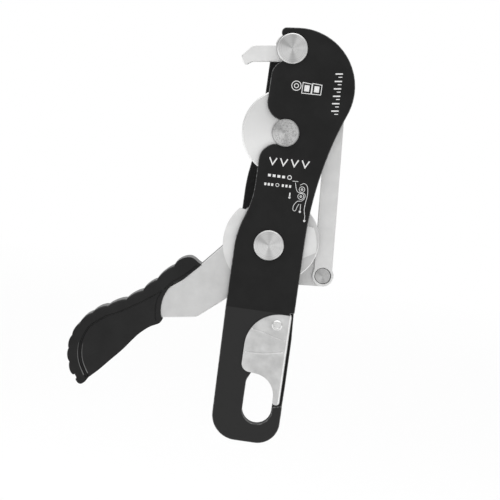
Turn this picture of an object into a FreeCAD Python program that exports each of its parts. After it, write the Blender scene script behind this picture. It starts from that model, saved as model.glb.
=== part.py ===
import FreeCAD, Part
import math
import os
from FreeCAD import Vector

os.makedirs("parts", exist_ok=True)

# Self-braking rope descender with a hand lever, a linked upper brake lever and
# a gated swing plate. Lengths are in mm. X is to the right, Y runs from the
# front plate to the rear plate, Z is up. Pieces are laid out about the lower
# axle, on the middle plane of the rope, and save() then moves them so that the
# origin is the centre of the carabiner eye.

# ---- rope and stack of plates, measured outwards from the rope's middle plane
cam_width = 12.5
cheek_thickness = 2.0
disc_cheek_thickness = 2.5
crank_thickness = 2.5
front_spacer_width = 3.15
rear_washer_width = 1.15
rear_washer_radius = 12.5
plate_thickness = 3.0
head_height = 2.2
running_gap = 0.1
edge_ease = 0.4

# ---- axle places, about the lower axle
upper_axle = (0.4, 65.9)
top_pin = (-2.5, 114.6)
crank_pin = (34.3, -15.1)
link_top = (27.0, 96.5)
gate_pivot = (11.4, -45.4)

# ---- shafts, heads and bores
axle_radius = 5.0
axle_head_radius = 8.7
upper_head_radius = 8.0
top_pin_radius = 4.0
top_head_radius = 8.8
collar_radius = 5.5
notch_play = 0.25
bore_play = 0.05
nut_wall = 4.1
shaft_proud = 1.2
shaft_chamfer = 0.6
nut_height = 4.0
head_chamfer = 0.5

# ---- plates
body_left = -19.8
body_right = 20.5
head_centre = (3.0, 93.3)
head_radius = 33.8
rear_head_radius = 31.0
head_top_angle = 96.5
neck_start = 5.0
hook_left = -9.9
hook_round = 2.8
lobe_left = -12.5
lobe_round = 10.2
lip_left = -12.8
lip_top = 57.6
lip_round = 10.0
shoulder_top = 34.0
shoulder_bottom = -4.0
bend_height = -38.5
front_bend = 3.0
rear_bend = 7.0
plate_bottom = -116.3
bottom_left = -18.7
bottom_left_round = 15.0
bottom_right_round = 13.0
rear_left = -18.4
rear_neck_left = -14.4
rear_corner_x = -6.5
rear_corner_low = 111.0

# ---- carabiner eye and gate opening
eye = (6.8, -96.5)
eye_radius = 8.7
rear_slot_rise = 19.0
rear_slot_drop = 1.6
rear_limb_right = 21.6
nose_right = 21.1
nose_top_left = -94.0
nose_top_right = -92.4
mouth_left = -1.9
mouth_corner_height = -80.0
mouth_right = 7.0
mouth_top = -61.0

# ---- gate
gate_sheet = 1.0
gate_right = 19.2
gate_left = -5.9
gate_top = -38.9
gate_top_round = 20.0
gate_heel = -74.4
gate_heel_round = 5.0
gate_throat = -76.3
gate_throat_round = 13.0
gate_tip = -92.2
gate_tip_left = 15.0
gate_fold_round = 1.7
gate_back_bottom = -67.0
rivet_radius = 2.0
rivet_head_radius = 3.05
rivet_head_height = 0.8
gate_wire = 0.8

# ---- upper bobbin
bobbin_radius = 25.4
bobbin_groove_depth = 3.0
bobbin_rim_chamfer = 0.8
bobbin_track_shift = 1.2
bobbin_front_flange = 3.2
bobbin_groove_round = 7.0
lock_pin_radius = 2.0
lock_pin_offset = 14.0

# ---- cam and its disc cheek
cam_centre = (4.6, 3.5)
cam_groove_depth = 3.1
cam_rim_radius = 22.5
front_cheek_radius = 24.5
rear_cheek_radius = 22.5
disc_centre = (0.5, 0.3)
disc_radius = 27.4
disc_tilt = -7.1
disc_top = 16.2
disc_lower_cut = 15.2
disc_lower_slope = 31.0
bush_radius = 7.5
cam_rivet_radius = 1.5
cam_rivet_places = ((-9.0, 12.5), (13.0, 12.5))

# ---- handle
grip_cover = 1.0
handle_rivet_radius = 2.5
handle_rivet_places = ((-66.0, -50.0), (-84.0, -66.0))

# ---- crank, link and brake lever
crank_boss_radius = 24.0
crank_end_radius = 6.4
link_width = 10.8
link_thickness = 3.0
link_foot_radius = 6.4
link_pin_radius = 3.5
link_pin_head_radius = 4.75
link_pin_recess = 0.6
link_pin_head_depth = 1.6
link_top_play = 0.35
lever_thickness = 6.0
lever_hub_radius = 10.0
lever_arm_end_radius = 6.0
lever_spacer_radius = 9.4
finger_tilt = 8.3
finger_thickness = 10.2
finger_rise = 2.7
finger_length = 25.5
finger_beak_drop = 2.6

# ---- handle return spring
spring_wire = 1.6
spring_radius = 9.6
spring_turns = 2.5
spring_pitch = 1.7
spring_pocket_depth = 6.2
spring_tail_angle = 120.0
window_margin = 9.0
handle_travel = 26.0

# ---- depths that follow from the stack (front is negative)
bobbin_groove_radius = bobbin_radius - bobbin_groove_depth
cam_groove_radius = cam_rim_radius - cam_groove_depth
cam_front = -cam_width / 2
cam_back = cam_width / 2
front_cheek_face = cam_front - cheek_thickness
disc_face = front_cheek_face - disc_cheek_thickness
plate_inner_front = disc_face - front_spacer_width - running_gap
plate_outer_front = plate_inner_front - plate_thickness
rear_cheek_face = cam_back + cheek_thickness
crank_face = rear_cheek_face + crank_thickness
plate_inner_rear = crank_face + running_gap + rear_washer_width
plate_outer_rear = plate_inner_rear + plate_thickness
head_back = plate_outer_front - running_gap
head_front = head_back - head_height
nut_back = plate_outer_rear + nut_height
lever_front = -lever_thickness / 2
lever_back = lever_thickness / 2
link_back = rear_cheek_face - running_gap
link_front = link_back - link_thickness
grip_front = front_cheek_face - grip_cover
grip_back = rear_cheek_face + grip_cover
notch_radius = collar_radius + notch_play
far = 400.0
lower_axle = (0.0, 0.0)


def place(x, z, y=0.0):
    return Vector(x, y, z)


def polar(centre, radius, degrees):
    angle = math.radians(degrees)
    return (centre[0] + radius * math.cos(angle), centre[1] + radius * math.sin(angle))


# Closed wire at depth y through corners (x, z, rounding radius).
def rounded_wire(corners, y):
    count = len(corners)
    arcs = []
    for i in range(count):
        x, z, radius = corners[i]
        before = corners[i - 1]
        after = corners[(i + 1) % count]
        to_before = Vector(before[0] - x, 0, before[1] - z).normalize()
        to_after = Vector(after[0] - x, 0, after[1] - z).normalize()
        half = to_before.getAngle(to_after) / 2
        reach = radius / math.tan(half)
        middle = (to_before + to_after).normalize()
        inward = radius / math.sin(half) - radius
        corner = place(x, z, y)
        arcs.append((corner + to_before * reach, corner + middle * inward, corner + to_after * reach, radius))
    edges = []
    for i in range(count):
        start, middle, end, radius = arcs[i]
        following = arcs[(i + 1) % count][0]
        if radius > 0:
            edges.append(Part.Arc(start, middle, end).toShape())
        if end.distanceToPoint(following) > 1e-6:
            edges.append(Part.LineSegment(end, following).toShape())
    return Part.Wire(edges)


def sheet(corners, y_front, y_back):
    face = Part.Face(rounded_wire(corners, y_front))
    return face.extrude(Vector(0, y_back - y_front, 0))


def disc(centre, radius, y_front, y_back):
    return Part.makeCylinder(radius, y_back - y_front, place(centre[0], centre[1], y_front), Vector(0, 1, 0))


def ring(centre, outer, inner, y_front, y_back):
    return disc(centre, outer, y_front, y_back).cut(disc(centre, inner, y_front, y_back))


# Solid of revolution about the Y axis through a centre; profile holds (radius, y).
def turned(centre, profile):
    points = [place(centre[0] + radius, centre[1], y) for radius, y in profile]
    face = Part.Face(Part.makePolygon(points + [points[0]]))
    return face.revolve(place(centre[0], centre[1]), Vector(0, 1, 0), 360)


# Bar whose ends are round, as wide as the circle at each end.
def round_bar(centre_a, radius_a, centre_b, radius_b, y_front, y_back):
    a = place(centre_a[0], centre_a[1], y_front)
    b = place(centre_b[0], centre_b[1], y_front)
    along = (b - a).normalize()
    across = Vector(-along.z, 0, along.x)
    lean = (radius_a - radius_b) / a.distanceToPoint(b)
    rise = math.sqrt(1 - lean * lean)
    left = along * lean + across * rise
    right = along * lean - across * rise
    edges = [
        Part.LineSegment(a + left * radius_a, b + left * radius_b).toShape(),
        Part.Arc(b + left * radius_b, b + along * radius_b, b + right * radius_b).toShape(),
        Part.LineSegment(b + right * radius_b, a + right * radius_a).toShape(),
        Part.Arc(a + right * radius_a, a - along * radius_a, a + left * radius_a).toShape(),
    ]
    return Part.Face(Part.Wire(edges)).extrude(Vector(0, y_back - y_front, 0))


# Chamfers every edge that lies flat in the plane at one of the given depths.
def eased(solid, depths, size=edge_ease):
    edges = []
    for edge in solid.Edges:
        box = edge.BoundBox
        for depth in depths:
            if abs(box.YMin - depth) < 1e-5 and abs(box.YMax - depth) < 1e-5:
                edges.append(edge)
    return solid.makeChamfer(size, edges)


def hexagon_nut(centre, across_corners_radius, bore, y_front, y_back):
    corners = [polar(centre, across_corners_radius, 60 * i) + (0.0,) for i in range(6)]
    nut = sheet(corners, y_front, y_back)
    height = y_back - y_front
    cone = Part.makeCone(across_corners_radius + height, across_corners_radius - 0.8, height + 0.8,
                         place(centre[0], centre[1], y_front - 0.8), Vector(0, 1, 0))
    return nut.common(cone).cut(disc(centre, bore, y_front - 1, y_back + 1))


# Height in the flat blank of a point that ends up at height z once the lower end is folded.
def blank(z, bend):
    if z >= bend_height:
        return z
    return bend_height - (bend_height - z) / math.cos(math.radians(bend))


# Folds everything below the bend line inwards about the plate's inner face.
def fold(flat, inner_y, turn):
    pivot = place(0, bend_height, inner_y)
    above = Part.makeBox(2 * far, 2 * far, far, Vector(-far, -far, bend_height))
    below = Part.makeBox(2 * far, 2 * far, far, Vector(-far, -far, bend_height - far))
    seam_plane = Part.makePlane(2 * far, 2 * far, Vector(-far, -far, bend_height), Vector(0, 0, 1))
    upper = flat.common(above)
    lower = flat.common(below)
    lower.rotate(pivot, Vector(1, 0, 0), turn)
    seam = flat.common(seam_plane).Faces[0]
    wedge = seam.revolve(pivot, Vector(1, 0, 0), turn)
    return upper.fuse([lower, wedge]).removeSplitter()


def tilt_with_front(shape):
    shape.rotate(place(0, bend_height, plate_inner_front), Vector(1, 0, 0), front_bend)
    return shape


def save(name, shape):
    moved = shape.copy()
    moved.translate(place(-eye[0], -eye[1]))
    moved.exportStep("parts/" + name + ".step")
    print(name, round(moved.Volume, 1), len(moved.Solids), moved.isValid())


def together(solids):
    return Part.makeCompound(solids)


# The two corners that run the side into the neck arc and on round the head's circle.
def neck_and_head_corners(radius):
    offset = body_right - head_centre[0]
    rise = head_centre[1] - neck_start
    neck = (offset ** 2 + rise ** 2 - radius ** 2) / (2 * (radius - offset))
    outward = Vector(offset + neck, 0, -rise).normalize()
    touch_x = head_centre[0] + outward.x * radius
    touch_z = head_centre[1] + outward.z * radius
    neck_corner = touch_z + outward.x * (touch_x - body_right) / outward.z
    top = place(*polar((0, 0), 1, head_top_angle))
    between = (outward + top).normalize()
    distance = radius / math.cos(outward.getAngle(top) / 2)
    head_corner = place(*head_centre) + between * distance
    return [(body_right, neck_corner, neck), (head_corner.x, head_corner.z, radius)]


# Height at x of the straight top edge that touches the head's circle.
def top_edge(radius, x):
    touch = polar(head_centre, radius, head_top_angle)
    return touch[1] - (touch[0] - x) * math.tan(math.radians(head_top_angle - 90))


# ---- front swing plate
shoulder_height = shoulder_top - shoulder_bottom
shoulder_step = lip_left - body_left
shoulder_radius = (shoulder_height ** 2 + shoulder_step ** 2) / (4 * shoulder_step)
shoulder_reach = shoulder_radius * math.tan(math.asin(shoulder_height / (2 * shoulder_radius)) / 2)
tongue_radius = gate_right - gate_sheet - running_gap - gate_pivot[0]
tongue_right = gate_pivot[0] + tongue_radius


def front(x, z, radius):
    return (x, blank(z, front_bend), radius)


front_corners = neck_and_head_corners(head_radius) + [
    (hook_left, top_edge(head_radius, hook_left), hook_round),
    (hook_left, top_pin[1] + notch_radius, hook_round),
    (top_pin[0] + notch_radius, top_pin[1] + notch_radius, notch_radius * 0.98),
    (top_pin[0] + notch_radius, top_pin[1] - notch_radius, notch_radius * 0.9),
    (lobe_left, top_pin[1] - notch_radius - 2.2, lobe_round),
    (lobe_left, upper_axle[1] + notch_radius + 2.2, lobe_round),
    (upper_axle[0] + notch_radius, upper_axle[1] + notch_radius, notch_radius * 0.9),
    (upper_axle[0] + notch_radius, upper_axle[1] - notch_radius, notch_radius * 0.9),
    (lip_left, lip_top, lip_round),
    (lip_left, shoulder_top - shoulder_reach, shoulder_radius),
    (body_left, shoulder_bottom + shoulder_reach, shoulder_radius),
    (body_left, bend_height - 1, 0),
    front(bottom_left, plate_bottom, bottom_left_round),
    front(nose_right, plate_bottom, bottom_right_round),
    front(nose_right, nose_top_right, 1.2),
    front(eye[0] + eye_radius, nose_top_left, 1.0),
    front(eye[0] + eye_radius, eye[1] - eye_radius, eye_radius - 0.01),
    front(eye[0] - eye_radius, eye[1] - eye_radius, eye_radius - 0.01),
    front(mouth_left, mouth_corner_height, 6.0),
    front(mouth_right, mouth_top, 4.0),
    front(mouth_right, gate_pivot[1] - tongue_radius, 1.5),
    front(tongue_right, gate_pivot[1] - tongue_radius, tongue_radius - 0.01),
    (tongue_right, bend_height + 0.6, 0.5),
    (body_right, bend_height + 0.6, 0.9),
]
front_flat = sheet(front_corners, plate_outer_front, plate_inner_front)
front_flat = front_flat.cut(disc(lower_axle, axle_radius + bore_play, plate_outer_front, plate_inner_front))
pivot_blank = (gate_pivot[0], blank(gate_pivot[1], front_bend))
front_flat = front_flat.cut(disc(pivot_blank, rivet_radius, plate_outer_front, plate_inner_front))
front_flat = eased(front_flat, (plate_outer_front, plate_inner_front))
save("front_plate", fold(front_flat, plate_inner_front, front_bend))

# ---- rear plate


def rear(x, z, radius):
    return (x, blank(z, rear_bend), radius)


rear_corners = neck_and_head_corners(rear_head_radius) + [
    (rear_corner_x, top_edge(rear_head_radius, rear_corner_x), 3.0),
    (rear_neck_left, rear_corner_low, 4.0),
    (rear_neck_left, 60.0, 90.0),
    (rear_left, 36.0, 90.0),
    (rear_left, 2.0, 90.0),
    (body_left + 0.4, -20.0, 90.0),
    (body_left + 0.4, bend_height - 1, 0),
    rear(bottom_left + 0.4, plate_bottom + 0.6, bottom_left_round),
    rear(nose_right, plate_bottom + 0.6, bottom_right_round),
    rear(rear_limb_right, -84.0, 30.0),
    rear(rear_limb_right, -56.0, 30.0),
    (body_right, bend_height + 3, 0),
]
rear_flat = sheet(rear_corners, plate_inner_rear, plate_outer_rear)
slot_low = (eye[0], blank(eye[1] - rear_slot_drop, rear_bend))
slot_high = (eye[0], blank(eye[1] + rear_slot_rise, rear_bend))
rear_slot = round_bar(slot_low, eye_radius, slot_high, eye_radius, plate_inner_rear, plate_outer_rear)
rear_flat = rear_flat.cut(rear_slot)
for centre, radius in ((lower_axle, axle_radius), (upper_axle, axle_radius), (top_pin, top_pin_radius)):
    rear_flat = rear_flat.cut(disc(centre, radius, plate_inner_rear, plate_outer_rear))
lock_pin = polar(upper_axle, lock_pin_offset, 0)
rear_flat = rear_flat.cut(disc(lock_pin, lock_pin_radius, plate_inner_rear, plate_outer_rear))
spring_tail = polar(lower_axle, spring_radius, spring_tail_angle)
rear_flat = rear_flat.cut(disc(spring_tail, spring_wire / 2, plate_inner_rear, plate_outer_rear))
rear_flat = eased(rear_flat, (plate_inner_rear, plate_outer_rear))
save("rear_plate", fold(rear_flat, plate_inner_rear, -rear_bend))


# ---- fixed axles: a turned pin with a head in front and a nut behind
def stepped_pin(centre, shaft, head, collar, collar_end):
    profile = [(0, head_front), (head - head_chamfer, head_front), (head, head_front + head_chamfer),
               (head, head_back), (collar, head_back), (collar, collar_end), (shaft, collar_end),
               (shaft, nut_back - shaft_chamfer), (shaft - shaft_chamfer, nut_back), (0, nut_back)]
    return turned(centre, profile)


lower_profile = [(0, head_front), (axle_head_radius - head_chamfer, head_front),
                 (axle_head_radius, head_front + head_chamfer), (axle_head_radius, head_back),
                 (axle_radius, head_back), (axle_radius, nut_back - shaft_chamfer),
                 (axle_radius - shaft_chamfer, nut_back), (0, nut_back)]
save("lower_axle", turned(lower_axle, lower_profile))
bobbin_front = plate_inner_front + running_gap
save("upper_axle", stepped_pin(upper_axle, axle_radius, upper_head_radius, collar_radius, bobbin_front))
save("top_pin", stepped_pin(top_pin, top_pin_radius, top_head_radius, collar_radius, bobbin_front))
nut_places = (
    ("lower_axle_nut", lower_axle, axle_radius),
    ("upper_axle_nut", upper_axle, axle_radius),
    ("top_pin_nut", top_pin, top_pin_radius),
)
for name, centre, shaft in nut_places:
    save(name, hexagon_nut(centre, shaft + nut_wall, shaft, plate_outer_rear, nut_back - shaft_proud))

save("lower_front_spacer", ring(lower_axle, axle_head_radius, axle_radius + bore_play,
                                plate_inner_front + running_gap, disc_face - running_gap / 2))
tail_gap = disc(spring_tail, spring_wire / 2 + running_gap, crank_face, plate_inner_rear)
washer = ring(lower_axle, rear_washer_radius, axle_radius, crank_face + running_gap, plate_inner_rear)
save("lower_rear_washer", washer.cut(tail_gap))

# ---- upper bobbin, fixed: a front flange and a hollow rope track
flange_back = bobbin_front + bobbin_front_flange
bobbin_points = [(axle_radius, bobbin_front), (bobbin_radius - bobbin_rim_chamfer, bobbin_front),
                 (bobbin_radius, bobbin_front + bobbin_rim_chamfer),
                 (bobbin_radius, flange_back - 1.0), (bobbin_groove_radius, flange_back + bobbin_track_shift),
                 (bobbin_groove_radius, plate_inner_rear - 1.0),
                 (bobbin_groove_radius - 1.0, plate_inner_rear),
                 (axle_radius, plate_inner_rear)]
bobbin = turned(upper_axle, bobbin_points)
track_centre = bobbin_groove_radius + bobbin_groove_round - bobbin_track_shift
rope_track = Part.makeTorus(track_centre, bobbin_groove_round,
                            place(upper_axle[0], upper_axle[1]), Vector(0, 1, 0))
pin_start = plate_inner_rear - 8.0
bobbin = bobbin.cut([rope_track, disc(lock_pin, lock_pin_radius, pin_start, plate_inner_rear)])
save("upper_bobbin", bobbin)
save("bobbin_lock_pin", disc(lock_pin, lock_pin_radius, pin_start, plate_outer_rear))

# ---- top pin spacers on both sides of the brake lever
save("lever_front_spacer", ring(top_pin, lever_spacer_radius, top_pin_radius, bobbin_front,
                                lever_front - running_gap))
save("lever_rear_spacer", ring(top_pin, lever_spacer_radius - 2, top_pin_radius, lever_back + running_gap,
                               plate_inner_rear))

# ---- cam, its bush and the plates that ride with the handle
cam_stack_front = disc_face
bush = ring(lower_axle, bush_radius, axle_radius + bore_play, cam_stack_front, crank_face)
save("cam_bush", bush)
bush_room = disc(lower_axle, bush_radius, disc_face - 1, crank_face + 1)
pocket_outer = spring_radius + spring_wire / 2 + 0.9
pocket_front = cam_back - spring_pocket_depth
pocket = disc(lower_axle, pocket_outer, pocket_front, cam_back)
tail_start = polar(lower_axle, spring_radius, -60)
cam_hook_hole = disc(tail_start, spring_wire / 2 + running_gap, pocket_front - 3.0, pocket_front)
rivet_holes = [disc(spot, cam_rivet_radius, disc_face, crank_face) for spot in cam_rivet_places]
cam_points = [(0, cam_front), (cam_rim_radius, cam_front), (cam_rim_radius, cam_front + 1.0),
              (cam_groove_radius, cam_front + 3.6), (cam_groove_radius, cam_back - 3.6),
              (cam_rim_radius, cam_back - 1.0), (cam_rim_radius, cam_back), (0, cam_back)]
cam = turned(cam_centre, cam_points).cut([bush_room, pocket, cam_hook_hole] + rivet_holes)
save("cam", cam)

disc_cheek = disc(disc_centre, disc_radius, disc_face, front_cheek_face)
top_cut = Part.makeBox(2 * far, far, far, Vector(-far, disc_face - 1, disc_top))
top_cut.rotate(Vector(0, 0, 0), Vector(0, 1, 0), -disc_tilt)
lower_cut = Part.makeBox(2 * far, far, far, Vector(-far, disc_face - 1, -far - disc_lower_cut))
lower_cut.rotate(Vector(0, 0, 0), Vector(0, 1, 0), -disc_lower_slope)
left_keep = Part.makeBox(far, far, 2 * far, Vector(-far, disc_face - 1, -far))
disc_cheek = disc_cheek.cut([top_cut, lower_cut.cut(left_keep), bush_room])
save("disc_cheek", disc_cheek)

# Arm of both handle cheeks, out to the end inside the grip.
arm_corners = [
    (-10.0, 14.0, 0), (-37.4, -17.3, 8.0), (-47.0, -27.5, 8.0), (-92.0, -62.0, 8.0),
    (-86.0, -76.0, 5.0), (-62.0, -52.5, 10.0), (-36.2, -48.5, 7.0), (4.0, -14.8, 0),
]


def handle_cheek(radius, y_front, y_back):
    plate = sheet(arm_corners, y_front, y_back).fuse(disc(cam_centre, radius, y_front, y_back))
    return plate.removeSplitter()


rivet_room = [disc(spot, handle_rivet_radius, front_cheek_face, rear_cheek_face)
              for spot in handle_rivet_places]


# Arc window that the spring's tail passes through while the handle turns.
def tail_window(y_front, y_back):
    room = spring_wire / 2 + 0.5
    band = ring(lower_axle, spring_radius + room, spring_radius - room, y_front, y_back)
    first = polar(lower_axle, far, spring_tail_angle - handle_travel - window_margin)
    last = polar(lower_axle, far, spring_tail_angle + window_margin)
    return band.common(sheet([(0.0, 0.0, 0.0), first + (0.0,), last + (0.0,)], y_front, y_back))


cheek_holes = [bush_room] + rivet_holes + rivet_room
front_cheek = handle_cheek(front_cheek_radius, front_cheek_face, cam_front).cut(cheek_holes)
save("handle_front_cheek", eased(front_cheek, (front_cheek_face,)))
rear_cheek = handle_cheek(rear_cheek_radius, cam_back, rear_cheek_face).cut(cheek_holes)
save("handle_rear_cheek", eased(rear_cheek, (rear_cheek_face,)).cut(tail_window(cam_back, rear_cheek_face)))

crank = round_bar(lower_axle, crank_boss_radius, crank_pin, crank_end_radius, rear_cheek_face, crank_face)
crank = crank.cut([bush_room, disc(crank_pin, link_pin_radius, rear_cheek_face, crank_face)] + rivet_holes)
save("crank_plate", crank.cut(tail_window(rear_cheek_face, crank_face)))
save("cam_rivets", together([disc(spot, cam_rivet_radius, front_cheek_face, crank_face)
                             for spot in cam_rivet_places]))
save("handle_rivets", together([disc(spot, handle_rivet_radius, front_cheek_face, rear_cheek_face)
                                for spot in handle_rivet_places]))
arm_core = sheet([(-56.0, -35.0, 4.0), (-88.0, -60.0, 6.0), (-84.0, -72.0, 4.0), (-58.0, -49.0, 4.0)],
                 cam_front, cam_back)
save("handle_core", arm_core.cut(rivet_room))

# ---- grip: a sleeve over the end of the handle cheeks
grip_outline = [
    (-37.6, -17.3, 1.3), (-44.0, -12.5, 2.4), (-49.6, -16.8, 3.0), (-52.6, -21.8, 4.0),
    (-74.0, -40.0, 30.0), (-97.4, -52.6, 14.0), (-109.0, -70.4, 14.0), (-106.6, -86.4, 12.0),
    (-97.6, -98.3, 2.6),
    (-69.6, -64.0, 24.0), (-54.3, -53.4, 1.3), (-57.2, -44.0, 4.0), (-56.2, -36.6, 4.0),
    (-52.6, -30.9, 6.0), (-46.3, -26.1, 6.0), (-41.4, -21.3, 3.0),
]
grip = sheet(grip_outline, grip_front, grip_back)
grip = eased(grip, (grip_front, grip_back), 0.8)
arm_room = sheet(arm_corners, front_cheek_face, cam_front).fuse(sheet(arm_corners, cam_back, rear_cheek_face))
save("grip", grip.cut([arm_room, arm_core] + rivet_room))


# ---- link from the crank to the brake lever
def pin_with_heads(centre, shaft, y_front, y_back, head, y_head_back, tail, y_tail_front):
    return turned(centre, [(0, y_front), (head - 0.3, y_front), (head, y_front + 0.3), (head, y_head_back),
                           (shaft, y_head_back), (shaft, y_tail_front), (tail, y_tail_front),
                           (tail, y_back - 0.3), (tail - 0.3, y_back), (0, y_back)])


sink_floor = link_front + link_pin_head_depth
link = round_bar(crank_pin, link_width / 2, link_top, link_width / 2, link_front, link_back)
link = link.fuse(disc(crank_pin, link_foot_radius, link_front, link_back)).removeSplitter()
link = link.cut([disc(crank_pin, link_pin_radius + bore_play, link_front, link_back),
                 disc(crank_pin, link_pin_head_radius + bore_play, link_front, sink_floor),
                 disc(link_top, link_pin_radius + link_top_play, link_front, link_back)])
save("link_arm", eased(link, (link_front, link_back), 0.3))
save("link_lower_pin", pin_with_heads(crank_pin, link_pin_radius, link_front + link_pin_recess,
                                      crank_face + rear_washer_width, link_pin_head_radius,
                                      sink_floor - bore_play, link_pin_head_radius, crank_face))

# ---- brake lever: finger, hub and the arm that the link lifts
slope = math.tan(math.radians(finger_tilt))
finger_end = top_pin[0] - finger_length
finger_top = top_pin[1] + finger_rise


def finger_line(x, drop):
    return finger_top - drop - (top_pin[0] - x) * slope


finger_corners = [
    (top_pin[0], finger_line(top_pin[0], 0), 0),
    (finger_end + 3.0, finger_line(finger_end + 3.0, 0.0), 5.0),
    (finger_end - 3.6, finger_line(finger_end, finger_thickness - 3.0), 2.2),
    (finger_end - 0.6, finger_line(finger_end, finger_thickness + finger_beak_drop), 2.0),
    (finger_end + 3.4, finger_line(finger_end + 3.4, finger_thickness), 2.5),
    (top_pin[0], finger_line(top_pin[0], finger_thickness), 0),
]
lever = round_bar(top_pin, lever_hub_radius, link_top, lever_arm_end_radius, lever_front, lever_back)
lever = lever.fuse(sheet(finger_corners, lever_front, lever_back)).removeSplitter()
lever = lever.cut([disc(top_pin, top_pin_radius + bore_play, lever_front, lever_back),
                   disc(link_top, link_pin_radius, lever_front, lever_back)])
save("brake_lever", eased(lever, (lever_front, lever_back), 0.5))
save("link_upper_pin", pin_with_heads(link_top, link_pin_radius, lever_front - 1.5, link_back + 1.6,
                                      link_pin_head_radius, lever_front, link_pin_head_radius,
                                      link_back + running_gap))
save("link_spacer", ring(link_top, link_pin_head_radius, link_pin_radius, lever_back,
                         link_front - running_gap))

# ---- handle return spring: coil round the bush, hooked in the cam and in the rear plate
coil_start = pocket_front + spring_wire / 2 + running_gap
coil_height = spring_pitch * spring_turns
helix = Part.makeHelix(spring_pitch, coil_height, spring_radius)
helix.rotate(Vector(0, 0, 0), Vector(1, 0, 0), -90)
helix.rotate(Vector(0, 0, 0), Vector(0, 1, 0), 60)
helix.translate(Vector(0, coil_start, 0))
begin = helix.Vertexes[0].Point
finish = helix.Vertexes[-1].Point
heading = helix.Edges[0].tangentAt(helix.Edges[0].FirstParameter)
section = Part.Wire(Part.makeCircle(spring_wire / 2, begin, heading))
coil = Part.Wire(helix.Edges).makePipeShell([section], True, True)
front_tang = disc((begin.x, begin.z), spring_wire / 2 - 0.02, pocket_front - 2.6, begin.y)
rear_tang = disc((finish.x, finish.z), spring_wire / 2 - 0.02, finish.y, plate_inner_rear + 2.4)
save("handle_return_spring", coil.fuse([front_tang, rear_tang]))

# ---- gate: folded sheet that straddles the front plate at its right edge
gate_front_face = plate_outer_front - running_gap - gate_sheet
gate_back_face = plate_inner_front + running_gap + gate_wire + running_gap
gate_outline = [
    front(gate_right, gate_top, 1.5),
    front(gate_left, gate_top, gate_top_round),
    front(gate_left, gate_heel, gate_heel_round),
    front(gate_tip_left - 0.3, gate_throat, gate_throat_round),
    front(gate_tip_left, gate_tip, 1.6),
    front(gate_right, gate_tip, 2.0),
]
gate_back_outline = [
    front(gate_right, gate_top, 1.5),
    front(gate_pivot[0] - 7.0, gate_top, 6.5),
    front(gate_pivot[0] - 7.0, gate_pivot[1] - 8.0, 6.5),
    front(gate_right - 5.5, gate_back_bottom, 3.0),
    front(gate_right, gate_back_bottom, 3.0),
]
leaf_split = plate_inner_front + running_gap


# Block whose two upright edges on the right are rounded, from the front leaf to the back leaf.
def folded_block(inset, rounding):
    depth = gate_back_face + gate_sheet - gate_front_face
    block = Part.makeBox(60 - inset, depth - 2 * inset, 90,
                         Vector(gate_right - 60, gate_front_face + inset, gate_top - 85))
    right_edges = [edge for edge in block.Edges
                   if edge.BoundBox.XMin > gate_right - inset - 0.01 and edge.BoundBox.ZLength > 80]
    return block.makeFillet(rounding, right_edges)


gate_body = folded_block(0.0, gate_fold_round).cut(folded_block(gate_sheet, gate_fold_round - gate_sheet))
leaf_shapes = sheet(gate_outline, gate_front_face, leaf_split)
leaf_shapes = leaf_shapes.fuse(sheet(gate_back_outline, leaf_split, gate_back_face + gate_sheet))
gate_body = gate_body.common(leaf_shapes)
rivet_hole = disc(pivot_blank, rivet_radius + bore_play, gate_front_face - 1, gate_back_face + 2)
gate_body = gate_body.cut(rivet_hole)
save("gate", tilt_with_front(gate_body))
rivet_front = gate_front_face - running_gap
rivet_back = gate_back_face + gate_sheet + running_gap
gate_rivet = turned(pivot_blank, [(0, rivet_front - 0.25), (1.5, rivet_front - 0.25),
                                 (1.9, rivet_front - rivet_head_height),
                                 (2.5, rivet_front - rivet_head_height),
                                 (rivet_head_radius, rivet_front - 0.3), (rivet_head_radius, rivet_front),
                                 (rivet_radius, rivet_front), (rivet_radius, rivet_back),
                                 (rivet_head_radius, rivet_back), (rivet_head_radius, rivet_back + 0.6),
                                 (0, rivet_back + 0.6)])
save("gate_rivet", tilt_with_front(gate_rivet))
wire_middle = plate_inner_front + running_gap + gate_wire / 2
leg_radius = rivet_radius + gate_wire / 2 + 0.15
wire_loop = Part.makeTorus(leg_radius, gate_wire / 2,
                           place(pivot_blank[0], pivot_blank[1], wire_middle), Vector(0, 1, 0))
plate_leg_end = place(pivot_blank[0] - leg_radius, pivot_blank[1], wire_middle)
plate_leg = Part.makeCylinder(gate_wire / 2 - 0.02, 7.0, plate_leg_end, Vector(0, 0, 1))
gate_leg_end = place(pivot_blank[0] + leg_radius, pivot_blank[1], wire_middle)
gate_leg = Part.makeCylinder(gate_wire / 2 - 0.02, 9.0, gate_leg_end, Vector(0, 0, -1))
save("gate_spring", tilt_with_front(wire_loop.fuse([plate_leg, gate_leg])))
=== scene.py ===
import bpy, bmesh, math
from mathutils import Matrix, Vector


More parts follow.
